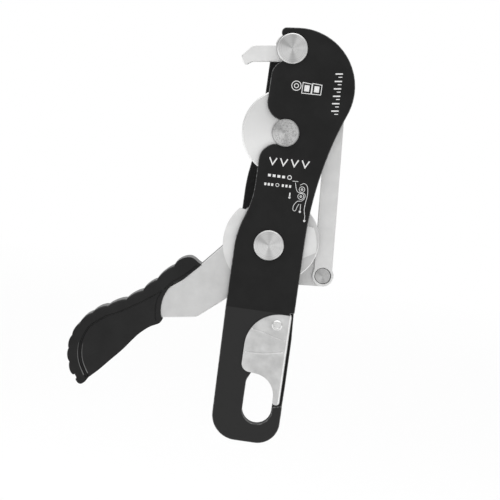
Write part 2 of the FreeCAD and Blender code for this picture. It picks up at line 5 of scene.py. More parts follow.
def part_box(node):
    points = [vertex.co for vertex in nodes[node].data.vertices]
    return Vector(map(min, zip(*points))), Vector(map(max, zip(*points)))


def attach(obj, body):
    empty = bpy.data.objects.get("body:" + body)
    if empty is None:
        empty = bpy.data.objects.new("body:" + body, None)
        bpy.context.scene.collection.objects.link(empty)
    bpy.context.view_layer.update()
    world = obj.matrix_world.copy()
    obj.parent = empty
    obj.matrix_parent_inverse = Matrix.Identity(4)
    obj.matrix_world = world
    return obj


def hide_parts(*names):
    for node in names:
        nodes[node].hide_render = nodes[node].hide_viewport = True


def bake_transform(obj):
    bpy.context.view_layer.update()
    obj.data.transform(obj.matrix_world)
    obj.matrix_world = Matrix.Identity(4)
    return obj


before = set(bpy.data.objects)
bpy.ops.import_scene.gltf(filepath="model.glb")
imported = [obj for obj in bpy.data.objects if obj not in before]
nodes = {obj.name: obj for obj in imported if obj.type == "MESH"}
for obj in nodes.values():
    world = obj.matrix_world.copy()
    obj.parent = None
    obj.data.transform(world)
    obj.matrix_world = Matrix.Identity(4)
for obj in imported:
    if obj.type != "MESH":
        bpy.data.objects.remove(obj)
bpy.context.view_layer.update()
mm = 0.001
nearlyZero = 1e-7  # metres, below which two points are one


def addObject(name, data):
    obj = bpy.data.objects.new(name, data)
    bpy.context.scene.collection.objects.link(obj)
    return obj


# camera: level with the plates, a little above them, leaning so the head goes to the right
cameraSize = {
    "target": (-17.19, -19.0, 92.32), "distance": 1300.0,  # mm
    "lift": 4.0, "lean": 8.1,  # degrees
    "lens": 161.4, "sensor": 36.0,  # mm
    "nearest": 0.05, "farthest": 60.0,  # metres
}


def makeCamera(size):
    data = bpy.data.cameras.new("camera")
    camera = addObject("camera", data)
    lift, lean = math.radians(size["lift"]), math.radians(size["lean"])
    forward = Vector((0, math.cos(lift), -math.sin(lift)))
    level = Vector((1, 0, 0))
    upright = level.cross(forward)
    right = level * math.cos(lean) + upright * math.sin(lean)
    up = upright * math.cos(lean) - level * math.sin(lean)
    turn = Matrix((right, up, -forward)).transposed().to_4x4()
    place = Vector(size["target"]) * mm - forward * size["distance"] * mm
    camera.matrix_world = Matrix.Translation(place) @ turn
    data.sensor_width, data.lens = size["sensor"], size["lens"]
    data.clip_start, data.clip_end = size["nearest"], size["farthest"]
    bpy.context.scene.camera = camera


makeCamera(cameraSize)
print("camera ready")


# material building blocks; pattern scales are per metre and bump depths are in metres
def newTree(name):
    mat = bpy.data.materials.new(name)
    mat.use_nodes = True
    tree = mat.node_tree
    shader = next(n for n in tree.nodes if n.type == "BSDF_PRINCIPLED")
    return mat, tree, shader


def addNode(tree, kind, values=None, **props):
    node = tree.nodes.new(kind)
    for key, value in props.items():
        setattr(node, key, value)
    for key, value in (values or {}).items():
        node.inputs[key].default_value = value
    return node


def setShader(shader, values):
    for key, value in values.items():
        shader.inputs[key].default_value = value


def objectCoords(tree, centre=(0, 0, 0)):
    coord = addNode(tree, "ShaderNodeTexCoord")
    mapping = addNode(tree, "ShaderNodeMapping", {"Location": tuple(-c * mm for c in centre)})
    tree.links.new(coord.outputs["Object"], mapping.inputs["Vector"])
    return mapping.outputs["Vector"]


def normalAlong(tree, axis):
    coord = addNode(tree, "ShaderNodeTexCoord")
    split = addNode(tree, "ShaderNodeSeparateXYZ")
    tree.links.new(coord.outputs["Normal"], split.inputs[0])
    return split.outputs[axis]


def mathStep(tree, operation, first, values=None):
    node = addNode(tree, "ShaderNodeMath", values, operation=operation)
    tree.links.new(first, node.inputs[0])
    return node


def vectorStep(tree, operation, vector, values=None):
    node = addNode(tree, "ShaderNodeVectorMath", values, operation=operation)
    tree.links.new(vector, node.inputs[0])
    return node.outputs["Value" if operation == "LENGTH" else "Vector"]


def noise(tree, vector, scale, detail=3.0, rough=0.55):
    values = {"Scale": scale, "Detail": detail, "Roughness": rough}
    tex = addNode(tree, "ShaderNodeTexNoise", values)
    tree.links.new(vector, tex.inputs["Vector"])
    return tex.outputs["Fac"]


def ringNoise(tree, radius, scale, detail):
    values = {"Scale": scale, "Detail": detail}
    tex = addNode(tree, "ShaderNodeTexNoise", values, noise_dimensions="1D")
    tree.links.new(radius, tex.inputs["W"])
    return tex.outputs["Fac"]


def ramp(tree, fac, low, high, start=0.35, end=0.65):
    values = {"From Min": start, "From Max": end, "To Min": low, "To Max": high}
    node = addNode(tree, "ShaderNodeMapRange", values)
    tree.links.new(fac, node.inputs["Value"])
    return node.outputs["Result"]


# mixes from `dark`, a colour or a socket, to the colour `light`
def blendColour(tree, fac, dark, light):
    node = addNode(tree, "ShaderNodeMix", data_type="RGBA")
    if isinstance(dark, tuple):
        node.inputs["A"].default_value = (*dark, 1)
    else:
        tree.links.new(dark, node.inputs["A"])
    node.inputs["B"].default_value = (*light, 1)
    tree.links.new(fac, node.inputs["Factor"])
    return node.outputs["Result"]


# a grey with a trace of warmth
def grey(value):
    return (value, value, value * 0.995)


def bumpFrom(tree, height, strength, distance):
    node = addNode(tree, "ShaderNodeBump", {"Strength": strength, "Distance": distance})
    tree.links.new(height, node.inputs["Height"])
    return node.outputs["Normal"]


# 1 where a face leans half way between the flat side of a sheet and its cut edge
def chamferMask(tree, axis="Y", middle=0.707, reach=0.2):
    size = mathStep(tree, "ABSOLUTE", normalAlong(tree, axis)).outputs[0]
    return mathStep(tree, "COMPARE", size, {1: middle, 2: reach}).outputs[0]


# black coating on the plates, lighter in spots along the chamfers: bare metal worn through,
# together with a painted chamfer highlight
blackFinish = {
    "grey": (0.006, 0.009), "cloud": 90.0,
    "downFacingSheen": 0.0185, "downFacingSheenLean": (-0.05, -0.02),  # faces that look down get a lighter painted sheen
    "wearAndChamferHighlight": 0.16, "wearAndChamferHighlightScale": 700.0, "wearAndChamferHighlightAmount": (0.25, 1.0), "wearAndChamferHighlightRange": (0.42, 0.6),
    "roughness": (0.40, 0.50), "roughnessScale": 260.0,
    "grain": 5200.0, "bump": 0.12, "depth": 0.00004,
    "shader": {"Metallic": 0.0, "IOR": 1.4, "Specular IOR Level": 0.25},
}


def blackAnodised(name, finish):
    mat, tree, shader = newTree(name)
    vector = objectCoords(tree)
    darkest, lightest = finish["grey"]
    cloud = ramp(tree, noise(tree, vector, finish["cloud"], detail=4.0), 0.0, 1.0)
    colour = blendColour(tree, cloud, grey(darkest), grey(lightest))
    # faces that look down are mixed towards a lighter grey: a painted sheen on the lower facet
    downFacingSheen = ramp(tree, normalAlong(tree, "Z"), 1.0, 0.0, *finish["downFacingSheenLean"])
    colour = blendColour(tree, downFacingSheen, colour, grey(finish["downFacingSheen"]))
    # spots on the chamfers turn lighter: wear to bare metal and a painted chamfer highlight
    spots = noise(tree, vector, finish["wearAndChamferHighlightScale"], detail=4.0)
    spots = ramp(tree, spots, *finish["wearAndChamferHighlightAmount"], *finish["wearAndChamferHighlightRange"])
    wearAndChamferHighlight = mathStep(tree, "MULTIPLY", spots)
    tree.links.new(chamferMask(tree), wearAndChamferHighlight.inputs[1])
    colour = blendColour(tree, wearAndChamferHighlight.outputs[0], colour, grey(finish["wearAndChamferHighlight"]))
    smear = noise(tree, vector, finish["roughnessScale"], detail=5.0)
    grain = noise(tree, vector, finish["grain"], detail=2.0)
    tree.links.new(colour, shader.inputs["Base Color"])
    tree.links.new(ramp(tree, smear, *finish["roughness"]), shader.inputs["Roughness"])
    tree.links.new(bumpFrom(tree, grain, finish["bump"], finish["depth"]), shader.inputs["Normal"])
    setShader(shader, finish["shader"])
    return mat


# satin metal: what each finish changes, and the nodes that wear it
satinStart = {
    "roughness": (0.36, 0.46), "cloud": 120.0, "cloudRange": (0.3, 0.7),
    "grain": 2500.0, "bump": 0.15, "depth": 0.00003,
    "edgeHighlightGrey": 0.0, "edge": ("Y", 0.707, 0.2),  # grey of the painted highlight on cut edges, 0 for none
}
satinFinishes = {
    "paleSheet": {"grey": (0.69, 0.76), "edgeHighlightGrey": 0.95, "on": ["disc_cheek"]},
    # darker copies of the pale sheet: painted shade on the crank plate, the handle cheeks and the
    # link arm
    "crankSheetShaded": {"grey": (0.57, 0.64), "edgeHighlightGrey": 0.85, "on": ["crank_plate"]},
    "handleSheetShaded": {"grey": (0.55, 0.62), "edgeHighlightGrey": 0.85,
                    "on": ["handle_front_cheek", "handle_rear_cheek"]},
    "linkSheetShaded": {"grey": (0.64, 0.71), "edgeHighlightGrey": 0.85, "on": ["link_arm"]},
    "leverSatin": {"grey": (0.70, 0.78), "roughness": (0.3, 0.4), "edgeHighlightGrey": 0.9,
                   "on": ["brake_lever"]},
    # the gate's painted highlight runs along the rounding of its fold
    "gateBlasted": {"grey": (0.46, 0.64), "roughness": (0.38, 0.5), "grain": 3800.0, "bump": 0.5,
                    "edgeHighlightGrey": 0.9, "edge": ("X", 0.6, 0.22), "on": ["gate"]},
    "rivetBright": {"grey": (0.55, 0.7), "roughness": (0.2, 0.3), "edgeHighlightGrey": 0.9,
                    "on": ["gate_rivet"]},
    "camCast": {"grey": (0.58, 0.66), "roughness": (0.34, 0.46), "bump": 0.3, "on": ["cam"]},
    "hardwareSatin": {"grey": (0.5, 0.6), "roughness": (0.3, 0.42),
                      "on": ["lower_axle_nut", "upper_axle_nut", "top_pin_nut",
                             "lever_rear_spacer", "lower_front_spacer", "lower_rear_washer",
                             "cam_bush", "cam_rivets", "handle_rivets", "bobbin_lock_pin",
                             "link_spacer"]},
    "springWire": {"grey": (0.34, 0.42), "roughness": (0.25, 0.35),
                   "on": ["handle_return_spring", "gate_spring"]},
}


def satinMetal(name, finish):
    mat, tree, shader = newTree(name)
    vector = objectCoords(tree)
    darkest, lightest = finish["grey"]
    grain = noise(tree, vector, finish["grain"])
    cloud = noise(tree, vector, finish["cloud"], detail=5.0)
    cloud = ramp(tree, cloud, 0.0, 1.0, *finish["cloudRange"])
    colour = blendColour(tree, cloud, grey(darkest), grey(lightest))
    if finish["edgeHighlightGrey"]:
        # cut edges and folds are mixed towards a bright grey: a painted edge highlight
        edge = chamferMask(tree, *finish["edge"])
        colour = blendColour(tree, edge, colour, grey(finish["edgeHighlightGrey"]))
    tree.links.new(colour, shader.inputs["Base Color"])
    tree.links.new(ramp(tree, grain, *finish["roughness"]), shader.inputs["Roughness"])
    tree.links.new(bumpFrom(tree, grain, finish["bump"], finish["depth"]), shader.inputs["Normal"])
    setShader(shader, {"Metallic": 1.0})
    return mat


# turned metal: rings cut round an axis along Y, with a painted highlight that fans out from the
# middle in light and dark wedges
turnedStart = {
    "roughness": 0.34, "roughnessSpan": (-0.05, 0.07), "rings": 5200.0, "bump": 0.25,
    "depth": 0.00002, "anisotropic": 0.75,
    "wedge": 0.9, "wedgeRange": (0.32, 0.68),  # how many light and dark wedges of painted highlight
    "lines": 0.3, "lineRange": (0.45, 0.7), "lineShade": 0.6, "lineScale": 0.4,
    "paintedRimLight": 0.85,  # grey painted on the chamfered rim: a painted highlight, dark for a painted recess shadow
    "speckle": 0.0, "speckleScale": 1500.0, "speckleRange": (0.5, 0.72), "speckleShade": 0.35,
}
turnedFinishes = {
    "lowerAxleTurned": {"grey": (0.42, 0.70), "wedge": 1.2,
                        "centre": "lower_axle", "on": ["lower_axle"]},
    "topPinTurned": {"grey": (0.38, 0.64), "wedge": 1.2, "centre": "top_pin", "on": ["top_pin"]},
    "upperAxleTurned": {"grey": (0.38, 0.60), "roughness": 0.4, "rings": 2600.0, "speckle": 0.8,
                        "wedge": 1.0, "paintedRimLight": 0.45, "centre": "upper_axle", "on": ["upper_axle"]},
    # the link pin's rim is near black: painted shadow of the recess round its head
    "linkPinTurned": {"grey": (0.36, 0.56), "roughness": 0.38, "paintedRimLight": 0.06,
                      "centre": "link_lower_pin", "on": ["link_lower_pin"]},
    "linkTopPinTurned": {"grey": (0.36, 0.52), "centre": "link_upper_pin",
                         "on": ["link_upper_pin"]},
    "bobbinTurned": {"grey": (0.68, 0.73), "roughness": 0.42, "bump": 0.1, "paintedRimLight": 0.98,
                     "lines": 0.04, "centre": "upper_axle", "on": ["upper_bobbin"]},
    "leverSpacerTurned": {"grey": (0.42, 0.56), "centre": "top_pin", "on": ["lever_front_spacer"]},
}


# middle of a node's box, in mm
def axisOf(name):
    low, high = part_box(name)
    return tuple((low[i] + high[i]) / 2 / mm for i in range(3))


def turnedMetal(name, finish):
    mat, tree, shader = newTree(name)
    vector = objectCoords(tree, axisOf(finish["centre"]))
    darkest, lightest = finish["grey"]
    flat = vectorStep(tree, "MULTIPLY", vector, {1: (1, 0, 1)})
    radius = vectorStep(tree, "LENGTH", flat)
    spoke = vectorStep(tree, "NORMALIZE", flat)
    around = vectorStep(tree, "CROSS_PRODUCT", flat, {1: (0, 1, 0)})
    # light and dark wedges round the axis: a painted highlight
    wedges = noise(tree, spoke, finish["wedge"], detail=0.6)
    wedges = ramp(tree, wedges, 0.0, 1.0, *finish["wedgeRange"])
    colour = blendColour(tree, wedges, grey(darkest), grey(lightest))
    broad = ringNoise(tree, radius, finish["rings"] * finish["lineScale"], detail=3.0)
    cuts = ramp(tree, broad, 0.0, finish["lines"], *finish["lineRange"])
    colour = blendColour(tree, cuts, colour, grey(darkest * finish["lineShade"]))
    # the chamfered rim takes its painted light: a highlight on most heads, a recess shadow on the
    # link pin
    colour = blendColour(tree, chamferMask(tree), colour, grey(finish["paintedRimLight"]))
    if finish["speckle"]:
        spots = noise(tree, vector, finish["speckleScale"], detail=4.0)
        spots = ramp(tree, spots, 0.0, finish["speckle"], *finish["speckleRange"])
        colour = blendColour(tree, spots, colour, grey(darkest * finish["speckleShade"]))
    height = ringNoise(tree, radius, finish["rings"], detail=2.0)
    roughness = [finish["roughness"] + change for change in finish["roughnessSpan"]]
    tree.links.new(colour, shader.inputs["Base Color"])
    tree.links.new(ramp(tree, height, *roughness), shader.inputs["Roughness"])
    tree.links.new(bumpFrom(tree, height, finish["bump"], finish["depth"]), shader.inputs["Normal"])
    tree.links.new(vectorStep(tree, "NORMALIZE", around), shader.inputs["Tangent"])
    setShader(shader, {"Anisotropic": finish["anisotropic"], "Metallic": 1.0})
    return mat


# rubber of the grip, and a paler copy of it on the lips beside its groove as a painted highlight
rubberStart = {
    "cloud": 70.0, "roughness": (0.30, 0.42), "roughnessScale": 900.0,
    "grain": 3200.0, "bump": 0.25, "depth": 0.00006, "specular": 0.25,
}
rubberFinishes = {
    "gripRubber": {"grey": (0.004, 0.008), "on": ["grip", "handle_core"]},
    "lipHighlightRubber": {"grey": (0.09, 0.15), "on": []},
}


def mouldedRubber(name, finish):
    mat, tree, shader = newTree(name)
    vector = objectCoords(tree)
    darkest, lightest = finish["grey"]
    cloud = ramp(tree, noise(tree, vector, finish["cloud"], detail=4.0), 0.0, 1.0)
    colour = blendColour(tree, cloud, grey(darkest), grey(lightest))
    smear = noise(tree, vector, finish["roughnessScale"], detail=4.0)
    grain = noise(tree, vector, finish["grain"])
    tree.links.new(colour, shader.inputs["Base Color"])
    tree.links.new(ramp(tree, smear, *finish["roughness"]), shader.inputs["Roughness"])
    tree.links.new(bumpFrom(tree, grain, finish["bump"], finish["depth"]), shader.inputs["Normal"])
    setShader(shader, {"Specular IOR Level": finish["specular"]})
    return mat


def dress(name, mat):
    node = nodes[name]
    node.data.materials.clear()
    node.data.materials.append(mat)


# makes every material of one kind and puts each on its nodes
def dressAll(maker, start, finishes):
    made = {}
    for name, changes in finishes.items():
        made[name] = maker(name, {**start, **changes})
        for node in changes["on"]:
            dress(node, made[name])
    return made


plateBlack = blackAnodised("plateBlack", blackFinish)
dress("front_plate", plateBlack)
dress("rear_plate", plateBlack)
dressAll(turnedMetal, turnedStart, turnedFinishes)
satin = dressAll(satinMetal, satinStart, satinFinishes)
rubber = dressAll(mouldedRubber, rubberStart, rubberFinishes)
print("CAD pieces dressed")


# shared shape helpers; plans are (x, z) in mm and depth runs along y
def newPiece(name, mesh, mat, body):
    obj = addObject(name, mesh)
    mesh.materials.clear()
    mesh.materials.append(mat)
    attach(obj, body)
    return obj


def meshFrom(bm, name, smooth=True):
    bmesh.ops.recalc_face_normals(bm, faces=bm.faces)
    mesh = bpy.data.meshes.new(name)
    bm.to_mesh(mesh)
    bm.free()
    if smooth:
        mesh.shade_smooth()
    return mesh


# a CAD node's mesh with its loose triangles joined up
def joinedCopy(node):
    bm = bmesh.new()
    bm.from_mesh(nodes[node].data)
    bmesh.ops.remove_doubles(bm, verts=bm.verts, dist=nearlyZero)
    return bm


# curve through the points, with `steps` pieces in each span
def smoothRun(points, steps):
    padded = [points[0]] + list(points) + [points[-1]]
    run = []
    for i in range(1, len(padded) - 2):
        a, b, c, d = (Vector(p) for p in padded[i - 1:i + 3])
        for k in range(steps):
            t = k / steps
            run.append(0.5 * (2 * b + (c - a) * t + (2 * a - 5 * b + 4 * c - d) * t ** 2
                              + (3 * b - a - 3 * c + d) * t ** 3))
    run.append(Vector(points[-1]))
    return run


# the same run moved sideways, to the right of its heading when `aside` is positive
def besideRun(run, aside):
    moved = []
    for i, point in enumerate(run):
        heading = (run[min(i + 1, len(run) - 1)] - run[max(i - 1, 0)]).normalized()
        moved.append(point + Vector((heading.y, -heading.x)) * aside)
    return moved


# a closed plan given depth, with its front and back rims rounded
def prism(loop, front, back, rounding, segments):
    bm = bmesh.new()
    cap = bm.faces.new([bm.verts.new((p[0] * mm, front * mm, p[1] * mm)) for p in loop])
    grown = bmesh.ops.extrude_face_region(bm, geom=[cap])
    moved = [v for v in grown["geom"] if isinstance(v, bmesh.types.BMVert)]
    bmesh.ops.translate(bm, verts=moved, vec=(0, (back - front) * mm, 0))
    bm.normal_update()
    rims = [e for e in bm.edges if abs(e.verts[0].co.y - e.verts[1].co.y) < nearlyZero]
    bmesh.ops.bevel(bm, geom=rims, offset=rounding * mm, segments=segments, profile=0.5,
                    affect="EDGES", clamp_overlap=True)
    bmesh.ops.triangulate(bm, faces=[f for f in bm.faces if len(f.verts) > 4])
    return bm


# skins a row of closed rings and caps both ends
def skinRings(bm, rings):
    sides = len(rings[0])
    for one, two in zip(rings, rings[1:]):
        for k in range(sides):
            bm.faces.new((one[k], one[(k + 1) % sides], two[(k + 1) % sides], two[k]))
    bm.faces.new(rings[0])
    bm.faces.new(rings[-1])


def anglesRound(sides):
    return [2 * math.pi * k / sides for k in range(sides)]


# closed tube along points in mm, tapering evenly from one radius to the other
def tube(points, startRadius, endRadius, sides=12):
    bm = bmesh.new()
    path = [Vector(p) for p in points]
    last = len(path) - 1
    rings = []
    for i, point in enumerate(path):
        heading = (path[min(i + 1, last)] - path[max(i - 1, 0)]).normalized()
        across = heading.cross(Vector((0, 1, 0))).normalized()
        lift = across.cross(heading)
        radius = startRadius + (endRadius - startRadius) * i / last
        rings.append([bm.verts.new((point + (across * math.cos(a) + lift * math.sin(a)) * radius)
                                   * mm) for a in anglesRound(sides)])
    skinRings(bm, rings)
    return meshFrom(bm, "tube")


def bakeModifiers(obj):
    graph = bpy.context.evaluated_depsgraph_get()
    graph.update()
    result = bpy.data.meshes.new_from_object(obj.evaluated_get(graph))
    obj.modifiers.clear()
    obj.data = result


def cutAway(obj, cutters):
    for mesh in cutters:
        tool = addObject("tool", mesh)
        cut = obj.modifiers.new("cut", "BOOLEAN")
        cut.operation, cut.solver, cut.object = "DIFFERENCE", "EXACT", tool
        bakeModifiers(obj)
        bpy.data.objects.remove(tool)


# smooth shading that breaks at sharp edges and keeps the large faces flat
def smoothByAngle(obj, degrees, largeFaceWeight=80):
    obj.data.shade_smooth()
    obj.data.set_sharp_from_angle(angle=math.radians(degrees))
    level = obj.modifiers.new("level", "WEIGHTED_NORMAL")
    level.keep_sharp, level.weight = True, largeFaceWeight
    bakeModifiers(obj)


# adds a Geometry Nodes modifier and sets its inputs by the identifiers of the named sockets
def grow(obj, tree, values):
    mod = obj.modifiers.new("grow", "NODES")
    mod.node_group = tree
    for item in tree.interface.items_tree:
        if item.item_type == "SOCKET" and item.in_out == "INPUT" and item.name in values:
            mod[item.identifier] = values[item.name]
    bakeModifiers(obj)
    obj.data.polygons.foreach_set("material_index", [0] * len(obj.data.polygons))


def newGeometryTree(name, inputs):
    tree = bpy.data.node_groups.new(name, "GeometryNodeTree")
    sockets = tree.interface
    sockets.new_socket("Geometry", in_out="INPUT", socket_type="NodeSocketGeometry")
    for label, kind in inputs:
        sockets.new_socket(label, in_out="INPUT", socket_type=kind)
    sockets.new_socket("Geometry", in_out="OUTPUT", socket_type="NodeSocketGeometry")
    return tree, tree.nodes.new("NodeGroupInput"), tree.nodes.new("NodeGroupOutput")


def endTree(tree, instances, given, output):
    real = tree.nodes.new("GeometryNodeRealizeInstances")
    paint = tree.nodes.new("GeometryNodeSetMaterial")
    tree.links.new(instances, real.inputs[0])
    tree.links.new(real.outputs[0], paint.inputs["Geometry"])
    tree.links.new(given.outputs["Material"], paint.inputs["Material"])
    tree.links.new(paint.outputs[0], output.inputs[0])


# repeats the given shape in a straight row
def rowTree():
    inputs = [("Count", "NodeSocketInt"), ("Step", "NodeSocketVector"),
              ("Material", "NodeSocketMaterial")]
    tree, given, output = newGeometryTree("row", inputs)
    line = tree.nodes.new("GeometryNodeMeshLine")
    copies = tree.nodes.new("GeometryNodeInstanceOnPoints")
    tree.links.new(given.outputs["Count"], line.inputs["Count"])
    tree.links.new(given.outputs["Step"], line.inputs["Offset"])
    tree.links.new(line.outputs[0], copies.inputs["Points"])
    tree.links.new(given.outputs["Geometry"], copies.inputs["Instance"])
    endTree(tree, copies.outputs[0], given, output)
    return tree


# repeats the given rib along a path; each lies across it and is as wide as the point's radius says
def ribTree():
    inputs = [("Path", "NodeSocketObject"), ("Material", "NodeSocketMaterial")]
    tree, given, output = newGeometryTree("ribs", inputs)
    path = tree.nodes.new("GeometryNodeObjectInfo")
    spots = tree.nodes.new("GeometryNodeCurveToPoints")
    spots.mode = "EVALUATED"
    width = tree.nodes.new("GeometryNodeInputRadius")
    stretch = addNode(tree, "ShaderNodeCombineXYZ", {"Y": 1.0, "Z": 1.0})
    turn = tree.nodes.new("FunctionNodeAlignRotationToVector")
    turn.axis, turn.pivot_axis = "X", "Y"
    copies = tree.nodes.new("GeometryNodeInstanceOnPoints")
    tree.links.new(given.outputs["Path"], path.inputs["Object"])
    tree.links.new(path.outputs["Geometry"], spots.inputs["Curve"])
    tree.links.new(width.outputs[0], stretch.inputs["X"])
    tree.links.new(stretch.outputs[0], copies.inputs["Scale"])
    tree.links.new(spots.outputs["Tangent"], turn.inputs["Vector"])
    tree.links.new(spots.outputs["Points"], copies.inputs["Points"])
    tree.links.new(turn.outputs[0], copies.inputs["Rotation"])
    tree.links.new(given.outputs["Geometry"], copies.inputs["Instance"])
    endTree(tree, copies.outputs[0], given, output)
    return tree


# grip: rounded rubber sleeve with ribs round its outer edge and a groove that follows them
gripSize = {
    "edge": [(-60.0, 76.2), (-68.8, 66.5), (-78.8, 57.0), (-89.8, 50.1), (-100.8, 43.9),
             (-108.6, 36.4), (-113.2, 27.5), (-114.3, 18.5), (-112.3, 9.5), (-108.2, 2.2)],
    "tip": [(-108.2, 2.2), (-106.6, 0.2), (-104.6, -0.4), (-102.4, 1.2), (-100.5, 4.2)],
    "belly": [(-100.5, 4.2), (-95.3, 9.3), (-89.1, 16.3), (-82.9, 23.3), (-78.0, 29.8),
              (-74.3, 34.2), (-69.2, 38.6), (-63.9, 41.5), (-62.2, 44.2)],
    "lip": [(-62.2, 44.2), (-63.5, 46.6), (-64.1, 50.8), (-63.7, 55.9), (-62.2, 60.5),
            (-59.6, 64.8)],
    "finUnder": [(-59.6, 64.8), (-58.0, 66.4), (-52.8, 70.1), (-48.4, 74.3), (-44.1, 79.2)],
    "finTip": [(-44.1, 79.2), (-46.1, 80.3), (-48.6, 81.9), (-51.2, 82.6), (-54.6, 81.7),
               (-57.9, 79.4), (-60.0, 76.2)],
    "groove": [(-64.6, 60.9), (-72.9, 54.6), (-79.4, 50.1), (-88.7, 44.4), (-94.0, 41.9),
               (-99.3, 38.2), (-104.0, 33.8), (-106.4, 29.0), (-107.7, 23.7), (-107.6, 17.9),
               (-106.4, 13.0), (-104.4, 9.0), (-101.4, 4.2)],
    "finCrease": [(-63.6, 61.8), (-61.0, 64.9), (-58.6, 67.5), (-53.7, 71.2), (-49.5, 75.2),
                  (-46.4, 78.4)],
    "lipCrease": [(-64.6, 60.9), (-66.8, 56.0), (-67.3, 50.5), (-66.7, 45.6), (-65.9, 42.8)],
    "half": 9.4, "rounding": 1.3, "roundingSteps": 4, "edgeSink": 0.9,
    "edgeSteps": 8, "cornerSteps": 6, "lineSteps": 5,
    "grooveRadius": (0.3, 0.6, 1.1), "grooveTurn": 2 / 3,  # start, where it deepens, end
    "finCreaseRadius": (0.3, 0.45), "lipCreaseRadius": (0.3, 0.3),
    "grooveLips": [(1.25, 0.36), (-1.25, 0.32)],  # how far beside the groove, and how thick
    "grooveLipStart": 0.08, "grooveLipSides": 8, "grooveLipShort": 2,  # points short of the tip
    "sharpAngle": 38,
    "ribs": {
        "pitches": [12.7, 10.2, 11.7, 11.7, 9.5, 9.7, 8.3, 7.8, 7.6, 7.6],  # from fin to tip
        "pitch": 10.0, "long": 6.1, "high": 2.2,  # half the length and height at this pitch
        "sink": 1.2, "inset": 0.05, "sides": 28,  # below the edge, and short of both faces
        # how a rib shrinks towards its ends: place along it from the middle, and scale
        "ends": [(-1.0, 0.45), (-0.985, 0.72), (-0.94, 0.88), (-0.86, 0.97), (-0.74, 1.0)],
    },
}


def ribShape(size, half):
    bm = bmesh.new()
    stations = size["ends"] + [(-y, scale) for y, scale in reversed(size["ends"])]
    rings = []
    for y, scale in stations:
        shrink = size["high"] * (1 - scale)
        long, high = size["long"] - shrink, size["high"] - shrink
        rings.append([bm.verts.new((long * math.cos(a) * mm, y * (half - size["inset"]) * mm,
                                    high * math.sin(a) * mm)) for a in anglesRound(size["sides"])])
    skinRings(bm, rings)
    return meshFrom(bm, "rib")


# middle of each rib along the run
def ribSpots(run, pitches):
    spots = []
    travelled, target, which = 0.0, pitches[0] / 2, 0
    for one, two in zip(run, run[1:]):
        step = (two - one).length
        while which < len(pitches) and travelled + step >= target:
            spots.append(one.lerp(two, (target - travelled) / step))
            which += 1
            if which < len(pitches):
                target += (pitches[which - 1] + pitches[which]) / 2
        travelled += step
    return spots


def pathCurve(points, widths):
    data = bpy.data.curves.new("path", "CURVE")
    data.dimensions = "3D"
    spline = data.splines.new("POLY")
    spline.points.add(len(points) - 1)
    for point, place, width in zip(spline.points, points, widths):
        point.co = (place[0] * mm, 0, place[1] * mm, 1)
        point.radius = width
    return addObject("path", data)


def growRibs(edge, size, half, mat):
    ribs = addObject("ribs", ribShape(size, half))
    spots = besideRun(ribSpots(edge, size["pitches"]), -size["sink"])
    path = pathCurve(spots, [pitch / size["pitch"] for pitch in size["pitches"]])
    grow(ribs, ribTree(), {"Path": path, "Material": mat})
    mesh = ribs.data
    bpy.data.objects.remove(ribs)
    bpy.data.objects.remove(path)
    return mesh


# a tube laid along a plan line on one side of the grip
def sideTube(run, face, radii, sides=12):
    return tube([(p.x, face, p.y) for p in run], *radii, sides)


def gripOutline(edge, size):
    outline = besideRun(edge, -size["edgeSink"])
    for part in ("tip", "belly", "lip", "finUnder", "finTip"):
        outline += smoothRun(size[part], size["cornerSteps"])[1:]
    return outline[:-1]


def makeGrip(size):
    edge = smoothRun(size["edge"], size["edgeSteps"])
    half = size["half"]
    sleeve = prism(gripOutline(edge, size), -half, half, size["rounding"], size["roundingSteps"])
    grip = newPiece("rubberGrip", meshFrom(sleeve, "rubberGrip"), rubber["gripRubber"], "handle")
    groove = smoothRun(size["groove"], size["lineSteps"])
    turn = int(len(groove) * size["grooveTurn"])
    thin, middle, wide = size["grooveRadius"]
    grooves, lips = [], []
    for face in (-half, half):
        grooves.append(sideTube(groove[:turn + 1], face, (thin, middle)))
        grooves.append(sideTube(groove[turn:], face, (middle, wide)))
        for crease in ("lipCrease", "finCrease"):
            run = smoothRun(size[crease], size["lineSteps"])
            grooves.append(sideTube(run, face, size[crease + "Radius"]))
        for aside, thick in size["grooveLips"]:
            run = besideRun(groove[turn:-size["grooveLipShort"]], aside)
            lips.append(sideTube(run, face, (size["grooveLipStart"], thick),
                                 size["grooveLipSides"]))
    cutAway(grip, grooves)
    bm = bmesh.new()
    bm.from_mesh(grip.data)
    bm.from_mesh(growRibs(edge, size["ribs"], half, rubber["gripRubber"]))
    firstLipFace = len(bm.faces)
    for lip in lips:
        bm.from_mesh(lip)
    # the lips take the paler rubber: a painted highlight along the groove
    for face in list(bm.faces)[firstLipFace:]:
        face.material_index = 1
    grip.data = meshFrom(bm, "rubberGrip")
    grip.data.materials.append(rubber["gripRubber"])
    grip.data.materials.append(rubber["lipHighlightRubber"])
    smoothByAngle(grip, size["sharpAngle"])
    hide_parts("grip")


makeGrip(gripSize)
print("grip made")


